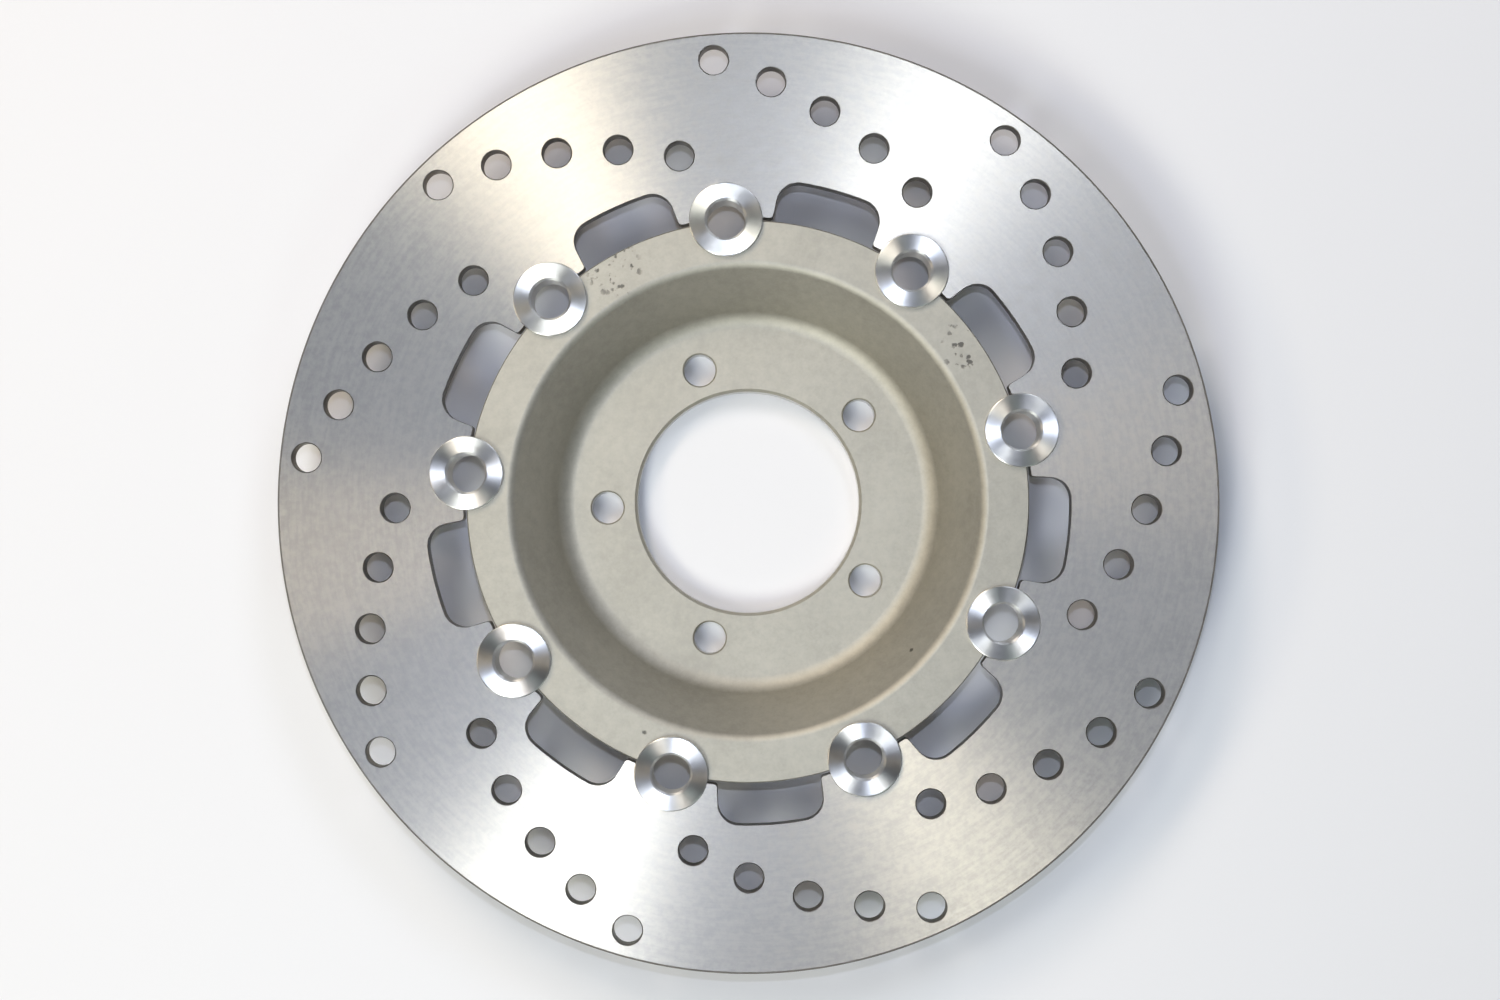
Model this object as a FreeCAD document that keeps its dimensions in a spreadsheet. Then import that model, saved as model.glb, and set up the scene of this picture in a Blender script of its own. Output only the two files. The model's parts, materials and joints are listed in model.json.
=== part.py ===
"""Floating brake disc: a ground steel ring hung on a dished aluminium carrier by nine drive buttons.

The origin is the centre of the carrier's hub face. +Z runs along the wheel axle, out of the dish's mouth.
All sizes are millimetres and degrees.
"""

import FreeCAD, Part
import math
import os
import Sketcher

# Every driving dimension: name, value, what it is.
DIMENSIONS = [
    ("button_count", 9, "drive buttons, and so lugs and windows, around the disc"),
    ("first_button_angle", 94.4, "direction of drive button 1, counterclockwise from +X"),
    ("front_height", 25.0, "hub face to the front face that ring and carrier share"),
    ("ring_outer_radius", 130.0, "outer edge of the brake ring"),
    ("ring_thickness", 5.0, "brake ring, new"),
    ("ring_edge_chamfer", 0.6, "outer edge of the brake ring"),
    ("lug_tip_radius", 78.45, "inner end of the ring's lugs"),
    ("lug_tip_round", 1.0, "corners of a lug's inner end"),
    ("window_outer_radius", 89.2, "outer side of a window between two lugs"),
    ("window_outer_width", 29.7, "window width at its outer side"),
    ("window_mouth_radius", 72.0, "where the window's outline closes, inside the ring's bore"),
    ("window_mouth_width", 28.0, "window width at that radius"),
    ("window_corner_round", 6.0, "outer corners of a window"),
    ("vent_count", 5, "vent holes in one row"),
    ("vent_radius", 4.0, "vent hole"),
    ("vent_first_radius", 122.5, "outermost vent of a row, from the axis"),
    ("vent_radial_step", 6.3, "each next vent is this much nearer the axis"),
    ("vent_pitch", 17.05, "centre to centre along a row"),
    ("edge_break", 0.3, "small chamfer on the ring's vents and the carrier's rim"),
    ("button_pitch_radius", 77.95, "drive buttons, from the axis"),
    ("notch_radius", 7.55, "half-round notches that hold a button's shank"),
    ("shank_radius", 7.5, "button's shank"),
    ("button_bore_radius", 5.3, "hole through the button"),
    ("bore_chamfer", 0.6, "mouth of the button's bore, in the flange"),
    ("flange_radius", 10.2, "button's flange, on the front"),
    ("flange_thickness", 1.4, "button's flange"),
    ("flange_chamfer", 0.3, "rim of the flange"),
    ("groove_depth", 0.5, "clip groove in the shank"),
    ("groove_width", 1.1, "clip groove in the shank"),
    ("shank_tail", 1.2, "shank behind the clip groove"),
    ("shank_chamfer", 0.4, "back end of the shank"),
    ("wave_room", 1.0, "ring's back to the flat washer, which the wave washer fills"),
    ("wave_strip", 0.4, "strip that the wave washer is pressed from"),
    ("wave_count", 3, "crests around the wave washer"),
    ("wave_clearance", 0.02, "clear of both neighbours at a crest"),
    ("washer_inner_radius", 7.65, "flat and wave washers"),
    ("washer_outer_radius", 9.5, "flat and wave washers"),
    ("flat_washer_thickness", 0.8, "flat washer"),
    ("clip_thickness", 1.0, "retaining clip"),
    ("clip_inner_radius", 7.05, "retaining clip"),
    ("clip_outer_radius", 9.0, "retaining clip"),
    ("clip_gap", 3.2, "opening of the retaining clip"),
    ("ear_radius", 1.55, "plier ears of the retaining clip"),
    ("ear_reach", 8.7, "ear from the clip's centre, along the gap"),
    ("ear_spread", 3.2, "ear from the middle of the gap"),
    ("ear_hole_radius", 0.8, "plier hole in an ear"),
    ("rim_radius", 77.6, "outer edge of the carrier"),
    ("rim_thickness", 5.0, "carrier rim"),
    ("mouth_radius", 65.1, "corner of rim and dish wall, before it is rounded"),
    ("mouth_round", 3.0, "rounding of the dish's mouth"),
    ("floor_radius", 52.3, "corner of dish wall and floor, before its fillet"),
    ("floor_fillet", 6.0, "fillet between dish wall and floor"),
    ("floor_thickness", 7.0, "hub flange at the bottom of the dish"),
    ("wall_width", 5.15, "dish wall, measured level"),
    ("back_fillet", 2.5, "dish wall to the back of the rim"),
    ("pad_round", 1.5, "outer edge of the hub face"),
    ("hub_bore_radius", 31.5, "spigot bore"),
    ("hub_bore_chamfer", 0.8, "both ends of the spigot bore"),
    ("bolt_count", 5, "hub bolts"),
    ("bolt_circle_radius", 40.0, "hub bolts, from the axis"),
    ("bolt_hole_radius", 4.5, "clearance hole for an M8 bolt"),
    ("bolt_hole_chamfer", 0.4, "front end of a bolt hole"),
    ("first_bolt_angle", 110.2, "direction of bolt hole 1, counterclockwise from +X"),
]

SHEET = "Dimensions"
START = 1  # a line's first end
END = 2  # a line's second end
CENTRE = 3  # a circle's centre
X_AXIS = -1  # a sketch's horizontal axis, whose first point is the sketch's origin
Y_AXIS = -2  # a sketch's vertical axis
POINTS_PER_WAVE = 8  # points that a wave washer's edges are drawn through, for each wave
SAME = 1e-4  # lengths nearer than this are equal
UP = FreeCAD.Vector(0, 0, 1)
ORIGIN = FreeCAD.Vector(0, 0, 0)


def size(name):
    """The sheet's cell for a dimension, as an expression."""
    return f"{SHEET}.{name}"


def number(thing, expression):
    """What an expression comes to."""
    return float(thing.evalExpression(expression))


def make_sheet(doc):
    sheet = doc.addObject("Spreadsheet::Sheet", SHEET)
    for row, (name, amount, meaning) in enumerate(DIMENSIONS, start=1):
        sheet.set(f"A{row}", meaning)
        sheet.set(f"B{row}", str(amount))
        sheet.setAlias(f"B{row}", name)
    doc.recompute()
    return sheet


# Levels along the axle, from the hub face
FRONT = size("front_height")
RING_BACK = f"{FRONT} - {size('ring_thickness')}"
WASHER_FRONT = f"{RING_BACK} - {size('wave_room')}"
WASHER_BACK = f"{WASHER_FRONT} - {size('flat_washer_thickness')}"
GROOVE_BACK = f"{WASHER_BACK} - {size('groove_width')}"
SHANK_END = f"{GROOVE_BACK} - {size('shank_tail')}"
CLIP_BACK = GROOVE_BACK


# Sketches


def origin_feature(body, role):
    return next(feature for feature in body.Origin.OriginFeatures if feature.Role == role)


def new_sketch(body, role, name):
    sketch = body.newObject("Sketcher::SketchObject", name)
    sketch.AttachmentSupport = [(origin_feature(body, role), "")]
    sketch.MapMode = "FlatFace"
    return sketch


def constrain(sketch, expression, kind, *where):
    """Add a dimension to a sketch and bind it to an expression."""
    index = sketch.addConstraint(Sketcher.Constraint(kind, *where, number(sketch, expression)))
    sketch.setExpression(f"Constraints[{index}]", expression)


def place_point(sketch, geometry, point, across, up):
    """Fix a point by an expression for each coordinate. "0" keeps it on the axis."""
    if across == "0":
        sketch.addConstraint(Sketcher.Constraint("PointOnObject", geometry, point, Y_AXIS))
    else:
        constrain(sketch, across, "DistanceX", X_AXIS, START, geometry, point)
    if up == "0":
        sketch.addConstraint(Sketcher.Constraint("PointOnObject", geometry, point, X_AXIS))
    else:
        constrain(sketch, up, "DistanceY", X_AXIS, START, geometry, point)


def join_ends(sketch, pieces):
    for piece, after in zip(pieces, pieces[1:] + pieces[:1]):
        sketch.addConstraint(Sketcher.Constraint("Coincident", piece, END, after, START))


def draw_outline(sketch, corners):
    """A closed outline of straight sides. Each corner is a pair of expressions."""
    points = [FreeCAD.Vector(number(sketch, x), number(sketch, y), 0) for x, y in corners]
    sides = zip(points, points[1:] + points[:1])
    lines = [sketch.addGeometry(Part.LineSegment(start, end), False) for start, end in sides]
    join_ends(sketch, lines)
    for line, (across, up) in zip(lines, corners):
        place_point(sketch, line, START, across, up)


def draw_circle(sketch, radius, across="0", up="0"):
    centre = FreeCAD.Vector(number(sketch, across), number(sketch, up), 0)
    index = sketch.addGeometry(Part.Circle(centre, UP, number(sketch, radius)), False)
    constrain(sketch, radius, "Radius", index)
    place_point(sketch, index, CENTRE, across, up)


# Features


def set_tip(body, feature):
    body.Document.recompute()
    body.Tip = feature
    body.Document.recompute()
    return feature


def pad(body, sketch, length, name):
    feature = body.newObject("PartDesign::Pad", name)
    feature.Profile = sketch
    feature.setExpression("Length", length)
    return set_tip(body, feature)


def revolve(body, sketch, name):
    feature = body.newObject("PartDesign::Revolution", name)
    feature.Profile = sketch
    feature.ReferenceAxis = (sketch, ["V_Axis"])
    feature.Angle = 360
    return set_tip(body, feature)


def cut_through(body, sketch, name):
    """Pocket a sketch through the body both ways, and make sure that it did cut."""
    before = body.Shape.Volume
    feature = body.newObject("PartDesign::Pocket", name)
    feature.Profile = sketch
    feature.SideType = "Symmetric"
    feature.Type = "ThroughAll"
    set_tip(body, feature)
    if body.Shape.Volume >= before:
        raise RuntimeError(f"{name} cut nothing")
    return feature


def repeat_around(body, feature, count, name):
    pattern = body.newObject("PartDesign::PolarPattern", name)
    pattern.Originals = [feature]
    pattern.Axis = (origin_feature(body, "Z_Axis"), [""])
    pattern.Angle = 360
    pattern.setExpression("Occurrences", count)
    return set_tip(body, pattern)


def round_edge(radius):
    """Picks circular edges of this radius."""

    def fits(edge):
        return isinstance(edge.Curve, Part.Circle) and abs(edge.Curve.Radius - radius) < SAME

    return fits


def ring_edge(radius, height):
    """Picks the circle about the body's axis at this radius and height."""

    def fits(edge):
        if not round_edge(radius)(edge):
            return False
        centre = edge.Curve.Center
        return math.hypot(centre.x, centre.y) < SAME and abs(centre.z - height) < SAME

    return fits


def upright_edge(radius):
    """Picks edges parallel to the axis, at this distance from it."""

    def fits(edge):
        if not isinstance(edge.Curve, Part.Line):
            return False
        low, high = (vertex.Point for vertex in edge.Vertexes)
        upright = math.hypot(high.x - low.x, high.y - low.y) < SAME
        return upright and abs(math.hypot(low.x, low.y) - radius) < SAME

    return fits


def dress(body, kind, amount, fits, name):
    """Fillet or chamfer those edges of the body's last feature that a test picks."""
    names = [f"Edge{index}" for index, edge in enumerate(body.Shape.Edges, start=1) if fits(edge)]
    if not names:
        raise RuntimeError(f"{name} finds no edge")
    last = body.Tip
    feature = body.newObject(f"PartDesign::{kind}", name)
    feature.Base = (last, names)
    feature.setExpression("Radius" if kind == "Fillet" else "Size", amount)
    return set_tip(body, feature)


# The brake ring. Its body's XY plane is the back face, and one lug points along the body's +X.


def draw_window(sketch):
    """A window centred on +X: two straight flanks under an arc about the axis."""
    mouth = number(sketch, size("window_mouth_radius"))
    mouth_side = number(sketch, size("window_mouth_width")) / 2
    outer = number(sketch, size("window_outer_radius"))
    outer_side = number(sketch, size("window_outer_width")) / 2
    half_angle = math.asin(outer_side / outer)
    low_mouth = FreeCAD.Vector(mouth, -mouth_side, 0)
    high_mouth = FreeCAD.Vector(mouth, mouth_side, 0)
    arc = Part.ArcOfCircle(Part.Circle(ORIGIN, UP, outer), -half_angle, half_angle)

    closing = sketch.addGeometry(Part.LineSegment(high_mouth, low_mouth), False)
    low_flank = sketch.addGeometry(Part.LineSegment(low_mouth, arc.StartPoint), False)
    crown = sketch.addGeometry(arc, False)
    high_flank = sketch.addGeometry(Part.LineSegment(arc.EndPoint, high_mouth), False)
    join_ends(sketch, [closing, low_flank, crown, high_flank])

    sketch.addConstraint(Sketcher.Constraint("Coincident", crown, CENTRE, X_AXIS, START))
    constrain(sketch, size("window_outer_radius"), "Radius", crown)
    place_point(sketch, closing, START, size("window_mouth_radius"), f"{size('window_mouth_width')} / 2")
    place_point(sketch, low_flank, START, size("window_mouth_radius"), f"-{size('window_mouth_width')} / 2")
    constrain(sketch, f"-{size('window_outer_width')} / 2", "DistanceY", X_AXIS, START, crown, START)
    constrain(sketch, f"{size('window_outer_width')} / 2", "DistanceY", X_AXIS, START, crown, END)


def draw_vent_row(sketch):
    """A row of vents that starts on +X and steps clockwise and inwards at an even pitch."""
    pitch = number(sketch, size("vent_pitch"))
    vent = number(sketch, size("vent_radius"))
    angle = 0.0
    before = None
    last_radius = None
    for index in range(int(number(sketch, size("vent_count")))):
        out = f"{size('vent_first_radius')} - {index} * {size('vent_radial_step')}"
        radius = number(sketch, out)
        if before is not None:
            cosine = (radius**2 + last_radius**2 - pitch**2) / (2 * radius * last_radius)
            angle -= math.acos(cosine)
        centre = FreeCAD.Vector(radius * math.cos(angle), radius * math.sin(angle), 0)
        circle = sketch.addGeometry(Part.Circle(centre, UP, vent), False)
        constrain(sketch, size("vent_radius"), "Radius", circle)
        if before is None:
            place_point(sketch, circle, CENTRE, out, "0")
        else:
            constrain(sketch, out, "Distance", X_AXIS, START, circle, CENTRE)
            constrain(sketch, size("vent_pitch"), "Distance", before, CENTRE, circle, CENTRE)
        before = circle
        last_radius = radius


def make_brake_ring(doc):
    ring = doc.addObject("PartDesign::Body", "BrakeRing")
    ring.Label = "brake_ring"
    ring.setExpression("Placement.Base.z", RING_BACK)
    ring.setExpression("Placement.Rotation.Angle", size("first_button_angle"))

    blank = new_sketch(ring, "XY_Plane", "RingBlankSketch")
    draw_circle(blank, size("ring_outer_radius"))
    draw_circle(blank, size("lug_tip_radius"))
    pad(ring, blank, size("ring_thickness"), "RingBlank")

    window = new_sketch(ring, "XY_Plane", "WindowSketch")
    draw_window(window)
    half_step = f"180 / {size('button_count')}"
    window.setExpression("AttachmentOffset.Rotation.Angle", half_step)
    first_window = cut_through(ring, window, "Window")
    repeat_around(ring, first_window, size("button_count"), "Windows")
    crown_radius = number(ring, size("window_outer_radius"))
    tip_radius = number(ring, size("lug_tip_radius"))
    dress(ring, "Fillet", size("window_corner_round"), upright_edge(crown_radius), "WindowCorners")
    dress(ring, "Fillet", size("lug_tip_round"), upright_edge(tip_radius), "LugTips")

    notch = new_sketch(ring, "XY_Plane", "RingNotchSketch")
    draw_circle(notch, size("notch_radius"), size("button_pitch_radius"))
    first_notch = cut_through(ring, notch, "RingNotch")
    repeat_around(ring, first_notch, size("button_count"), "RingNotches")

    vents = new_sketch(ring, "XY_Plane", "VentRowSketch")
    draw_vent_row(vents)
    first_row = cut_through(ring, vents, "VentRow")
    repeat_around(ring, first_row, size("button_count"), "VentRows")
    vent_edge = round_edge(number(ring, size("vent_radius")))
    dress(ring, "Chamfer", size("edge_break"), vent_edge, "VentEdges")

    outer_edge = round_edge(number(ring, size("ring_outer_radius")))
    dress(ring, "Chamfer", size("ring_edge_chamfer"), outer_edge, "RingEdge")
    return ring


# The carrier. Its body's XY plane is the hub face, and one notch points along the body's +X.


def carrier_profile():
    """Half section of the dish, from the bore's back corner outwards and back along the front."""
    bore = size("hub_bore_radius")
    rim = size("rim_radius")
    rim_back = f"{FRONT} - {size('rim_thickness')}"
    slope = f"({size('mouth_radius')} - {size('floor_radius')}) / ({FRONT} - {size('floor_thickness')})"
    wall_foot = f"{size('floor_radius')} + {size('wall_width')} - {size('floor_thickness')} * {slope}"
    wall_top = f"{size('mouth_radius')} + {size('wall_width')} - {size('rim_thickness')} * {slope}"
    return [
        (bore, "0"),
        (wall_foot, "0"),
        (wall_top, rim_back),
        (f"{rim} - {size('edge_break')}", rim_back),
        (rim, f"{rim_back} + {size('edge_break')}"),
        (rim, f"{FRONT} - {size('edge_break')}"),
        (f"{rim} - {size('edge_break')}", FRONT),
        (size("mouth_radius"), FRONT),
        (size("floor_radius"), size("floor_thickness")),
        (bore, size("floor_thickness")),
    ], wall_foot, wall_top, rim_back


def make_carrier(doc):
    carrier = doc.addObject("PartDesign::Body", "Carrier")
    carrier.Label = "carrier"
    carrier.setExpression("Placement.Rotation.Angle", size("first_button_angle"))

    section = new_sketch(carrier, "XZ_Plane", "CarrierSection")
    corners, wall_foot, wall_top, rim_back = carrier_profile()
    draw_outline(section, corners)
    revolve(carrier, section, "Dish")

    front = number(carrier, FRONT)
    floor = number(carrier, size("floor_thickness"))
    bore = number(carrier, size("hub_bore_radius"))
    mouth_edge = ring_edge(number(carrier, size("mouth_radius")), front)
    floor_edge = ring_edge(number(carrier, size("floor_radius")), floor)
    back_edge = ring_edge(number(carrier, wall_top), number(carrier, rim_back))
    pad_edge = ring_edge(number(carrier, wall_foot), 0.0)
    dress(carrier, "Fillet", size("mouth_round"), mouth_edge, "MouthRound")
    dress(carrier, "Fillet", size("floor_fillet"), floor_edge, "FloorFillet")
    dress(carrier, "Fillet", size("back_fillet"), back_edge, "BackFillet")
    dress(carrier, "Fillet", size("pad_round"), pad_edge, "PadRound")
    dress(carrier, "Chamfer", size("hub_bore_chamfer"), round_edge(bore), "BoreChamfers")

    notch = new_sketch(carrier, "XY_Plane", "CarrierNotchSketch")
    draw_circle(notch, size("notch_radius"), size("button_pitch_radius"))
    first_notch = cut_through(carrier, notch, "CarrierNotch")
    repeat_around(carrier, first_notch, size("button_count"), "CarrierNotches")

    bolt_hole = new_sketch(carrier, "XY_Plane", "BoltHoleSketch")
    draw_circle(bolt_hole, size("bolt_hole_radius"), size("bolt_circle_radius"))
    turn = f"{size('first_bolt_angle')} - {size('first_button_angle')}"
    bolt_hole.setExpression("AttachmentOffset.Rotation.Angle", turn)
    first_hole = cut_through(carrier, bolt_hole, "BoltHole")
    repeat_around(carrier, first_hole, size("bolt_count"), "BoltHoles")
    on_hole = round_edge(number(carrier, size("bolt_hole_radius")))

    def front_of_hole(edge):
        return on_hole(edge) and abs(edge.Curve.Center.z - floor) < SAME

    dress(carrier, "Chamfer", size("bolt_hole_chamfer"), front_of_hole, "BoltHoleChamfers")
    return carrier


# Drive buttons and what holds them. Each piece's own Z axis is its button's, and its +X points away
# from the disc's centre.


def put_on_pitch_circle(piece, index):
    """Place a piece that is drawn about its own axis at button number index."""
    angle = f"({size('first_button_angle')} + {index - 1} * 360 / {size('button_count')})"
    piece.setExpression("Placement.Base.x", f"{size('button_pitch_radius')} * cos({angle})")
    piece.setExpression("Placement.Base.y", f"{size('button_pitch_radius')} * sin({angle})")
    piece.setExpression("Placement.Rotation.Angle", angle)


def make_drive_button(doc, index):
    """Hollow shank with a flange on the front and a clip groove near its back end."""
    button = doc.addObject("PartDesign::Body", f"DriveButton{index}")
    button.Label = f"drive_button_{index}"
    put_on_pitch_circle(button, index)

    bore = size("button_bore_radius")
    shank = size("shank_radius")
    flange = size("flange_radius")
    crown = f"{FRONT} + {size('flange_thickness')}"
    groove_floor = f"{shank} - {size('groove_depth')}"
    section = new_sketch(button, "XZ_Plane", f"ButtonSection{index}")
    corners = [
        (bore, SHANK_END),
        (f"{shank} - {size('shank_chamfer')}", SHANK_END),
        (shank, f"{SHANK_END} + {size('shank_chamfer')}"),
        (shank, GROOVE_BACK),
        (groove_floor, GROOVE_BACK),
        (groove_floor, WASHER_BACK),
        (shank, WASHER_BACK),
        (shank, FRONT),
        (flange, FRONT),
        (flange, f"{crown} - {size('flange_chamfer')}"),
        (f"{flange} - {size('flange_chamfer')}", crown),
        (f"{bore} + {size('bore_chamfer')}", crown),
        (bore, f"{crown} - {size('bore_chamfer')}"),
    ]
    draw_outline(section, corners)
    revolve(button, section, f"ButtonTurning{index}")
    return button


def make_flat_washer(doc, index):
    washer = doc.addObject("Part::Cut", f"FlatWasher{index}")
    washer.Label = f"flat_washer_{index}"
    washer.Base = doc.addObject("Part::Cylinder", f"WasherDisc{index}")
    washer.Tool = doc.addObject("Part::Cylinder", f"WasherHole{index}")
    for cylinder, radius in ((washer.Base, "washer_outer_radius"), (washer.Tool, "washer_inner_radius")):
        cylinder.setExpression("Radius", size(radius))
        cylinder.setExpression("Height", size("flat_washer_thickness"))
        cylinder.setExpression("Placement.Base.z", WASHER_BACK)
    put_on_pitch_circle(washer, index)
    return washer


def make_retaining_clip(doc, index):
    """Open ring that snaps into the shank's groove, with two ears for pliers beside its gap."""
    clip = doc.addObject("PartDesign::Body", f"RetainingClip{index}")
    clip.Label = f"retaining_clip_{index}"
    put_on_pitch_circle(clip, index)
    clip.setExpression("Placement.Base.z", CLIP_BACK)

    hoop = new_sketch(clip, "XY_Plane", f"ClipHoopSketch{index}")
    draw_circle(hoop, size("clip_outer_radius"))
    draw_circle(hoop, size("clip_inner_radius"))
    pad(clip, hoop, size("clip_thickness"), f"ClipHoop{index}")

    sides = (size("ear_spread"), f"-{size('ear_spread')}")
    ears = new_sketch(clip, "XY_Plane", f"ClipEarSketch{index}")
    for side in sides:
        draw_circle(ears, size("ear_radius"), size("ear_reach"), side)
    pad(clip, ears, size("clip_thickness"), f"ClipEars{index}")

    half_gap = f"{size('clip_gap')} / 2"
    past_the_hoop = f"{size('clip_outer_radius')} + {size('clip_gap')}"
    inside_the_hoop = f"{size('clip_inner_radius')} - {size('clip_gap')}"
    gap = new_sketch(clip, "XY_Plane", f"ClipGapSketch{index}")
    corners = [
        (inside_the_hoop, f"-{half_gap}"),
        (past_the_hoop, f"-{half_gap}"),
        (past_the_hoop, half_gap),
        (inside_the_hoop, half_gap),
    ]
    draw_outline(gap, corners)
    cut_through(clip, gap, f"ClipGap{index}")

    holes = new_sketch(clip, "XY_Plane", f"ClipHoleSketch{index}")
    for side in sides:
        draw_circle(holes, size("ear_hole_radius"), size("ear_reach"), side)
    cut_through(clip, holes, f"ClipHoles{index}")
    return clip


def wavy_edge(sheet, radius, middle):
    """Closed smooth edge around the Z axis that rises and falls once for each wave."""
    room = sheet.wave_room - 2 * sheet.wave_clearance
    swing = (room - sheet.wave_strip) / 2
    count = POINTS_PER_WAVE * sheet.wave_count
    points = []
    for step in range(count):
        angle = 2 * math.pi * step / count
        height = middle + swing * math.cos(sheet.wave_count * angle)
        points.append(FreeCAD.Vector(radius * math.cos(angle), radius * math.sin(angle), height))
    curve = Part.BSplineCurve()
    curve.interpolate(Points=points, PeriodicFlag=True)
    return curve.toShape()


def make_wave_washer(doc, sheet, index):
    """Spring washer pressed into waves: four ruled faces between four wavy edges."""
    washer = doc.addObject("Part::Feature", f"WaveWasher{index}")
    washer.Label = f"wave_washer_{index}"
    middle = sheet.front_height - sheet.ring_thickness - sheet.wave_room / 2
    half_strip = sheet.wave_strip / 2
    corners = [
        (sheet.washer_inner_radius, middle - half_strip),
        (sheet.washer_outer_radius, middle - half_strip),
        (sheet.washer_outer_radius, middle + half_strip),
        (sheet.washer_inner_radius, middle + half_strip),
    ]
    edges = [wavy_edge(sheet, radius, height) for radius, height in corners]
    faces = [Part.makeRuledSurface(edge, after) for edge, after in zip(edges, edges[1:] + edges[:1])]
    solid = Part.Solid(Part.Shell(faces))
    if solid.Volume < 0:
        solid.reverse()
    washer.Shape = solid
    put_on_pitch_circle(washer, index)
    return washer


# The whole disc


def check(doc, pieces):
    """Stop before anything is written if an object failed or a piece is no good solid."""
    for thing in doc.Objects:
        if "Invalid" in thing.State or "Error" in thing.State:
            raise RuntimeError(f"{thing.Label} did not recompute: {thing.State}")
    for piece in pieces:
        if piece.Shape.isNull() or not piece.Shape.isValid():
            raise RuntimeError(f"{piece.Label} is not a valid shape")
        if len(piece.Shape.Solids) != 1:
            raise RuntimeError(f"{piece.Label} is not one solid")


def main():
    doc = FreeCAD.newDocument("FloatingBrakeDisc")
    sheet = make_sheet(doc)
    pieces = [make_brake_ring(doc), make_carrier(doc)]
    for index in range(1, sheet.button_count + 1):
        pieces.append(make_drive_button(doc, index))
        pieces.append(make_wave_washer(doc, sheet, index))
        pieces.append(make_flat_washer(doc, index))
        pieces.append(make_retaining_clip(doc, index))
    doc.recompute()
    check(doc, pieces)
    os.makedirs("parts", exist_ok=True)
    for piece in pieces:
        piece.Shape.exportStep(f"parts/{piece.Label}.step")
        print(f"{piece.Label}: {piece.Shape.Volume:.1f} mm3")


main()
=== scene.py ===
"""Floating brake disc: the finished look of its ring, carrier, drive buttons, washers and clips.

Lengths are metres and angles are radians unless a name says otherwise. +Z runs along the wheel's axle and out
of the dish's mouth. The hub face lies on z = 0, where the disc stands on a pale table.
"""

import json
import math

import bpy
from mathutils import Matrix, Vector


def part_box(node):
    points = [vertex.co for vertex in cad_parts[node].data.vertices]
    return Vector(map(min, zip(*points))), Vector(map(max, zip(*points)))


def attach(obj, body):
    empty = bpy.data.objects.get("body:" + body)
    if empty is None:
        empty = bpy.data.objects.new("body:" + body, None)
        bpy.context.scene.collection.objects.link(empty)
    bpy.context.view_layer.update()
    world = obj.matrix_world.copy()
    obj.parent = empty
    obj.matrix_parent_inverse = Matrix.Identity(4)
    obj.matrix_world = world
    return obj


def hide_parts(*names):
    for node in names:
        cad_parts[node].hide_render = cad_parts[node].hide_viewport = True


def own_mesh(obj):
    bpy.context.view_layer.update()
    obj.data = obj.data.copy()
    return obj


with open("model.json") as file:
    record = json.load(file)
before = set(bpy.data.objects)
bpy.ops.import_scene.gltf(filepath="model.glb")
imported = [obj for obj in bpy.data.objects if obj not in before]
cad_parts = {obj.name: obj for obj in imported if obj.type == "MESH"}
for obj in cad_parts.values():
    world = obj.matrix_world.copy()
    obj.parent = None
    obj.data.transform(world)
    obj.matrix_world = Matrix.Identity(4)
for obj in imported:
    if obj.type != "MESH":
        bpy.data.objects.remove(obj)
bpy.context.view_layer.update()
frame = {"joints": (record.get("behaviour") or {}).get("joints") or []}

bl_info = {
    "name": "Floating Brake Disc",
    "version": (1, 0, 0),
    "blender": (4, 5, 0),
    "location": "3D View > Sidebar > Brake Disc",
    "description": "Models the pieces of a floating brake disc and lights them on a pale table",
    "category": "Add Mesh",
}

MM = 0.001
FULL_TURN = 2 * math.pi
AXLE = Vector((0.0, 0.0, 1.0))
CENTRE = Vector((0.0, 0.0, 0.0))
VIEW_UP = Vector((0.0, 1.0, 0.0))
WELD = 0.001 * MM
REACH = 2 * MM  # how far a cutter goes past the faces that it cuts
WAVE_SPARE = 0.01 * MM  # left between a flattened wave washer and the ring
SOFTBOX_DISTANCE = 1.35
FLASH_RISE = 53 * MM
PIT_RADIUS = 74 * MM
PIT_GROUPS = (math.radians(120.0), math.radians(35.0))

RING_LOW, RING_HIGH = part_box("brake_ring")
CARRIER_LOW, CARRIER_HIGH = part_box("carrier")
BUTTON_LOW, BUTTON_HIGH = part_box("drive_button_1")
WASHER_LOW, WASHER_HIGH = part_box("flat_washer_1")
WAVE_LOW, WAVE_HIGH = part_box("wave_washer_1")
CLIP_LOW, CLIP_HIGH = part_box("retaining_clip_1")
FLOAT_JOINT = "ring_float"


def button_axes():
    """Where each drive button's axis stands, in the order of the buttons' numbers."""
    places = {joint["child"]: joint["pos_m"] for joint in frame["joints"] if joint["name"] != FLOAT_JOINT}
    in_order = [places[f"button_{index}"] for index in range(1, len(places) + 1)]
    return [Vector((place[0], place[1], 0.0)) for place in in_order]


BUTTON_AXES = button_axes()
BUTTON_COUNT = len(BUTTON_AXES)
FIRST_BUTTON = math.atan2(BUTTON_AXES[0].y, BUTTON_AXES[0].x)
BUTTON_STEP = FULL_TURN / BUTTON_COUNT


# Properties


def length(name, millimetres, description):
    return bpy.props.FloatProperty(
        name=name,
        description=description,
        default=millimetres * MM,
        min=0.0,
        precision=5,
        subtype="DISTANCE",
        unit="LENGTH",
    )


def angle(name, degrees, description):
    return bpy.props.FloatProperty(
        name=name, description=description, default=math.radians(degrees), subtype="ANGLE", unit="ROTATION"
    )


def share(name, value, description):
    return bpy.props.FloatProperty(
        name=name, description=description, default=value, min=0.0, max=1.0, subtype="FACTOR"
    )


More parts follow.
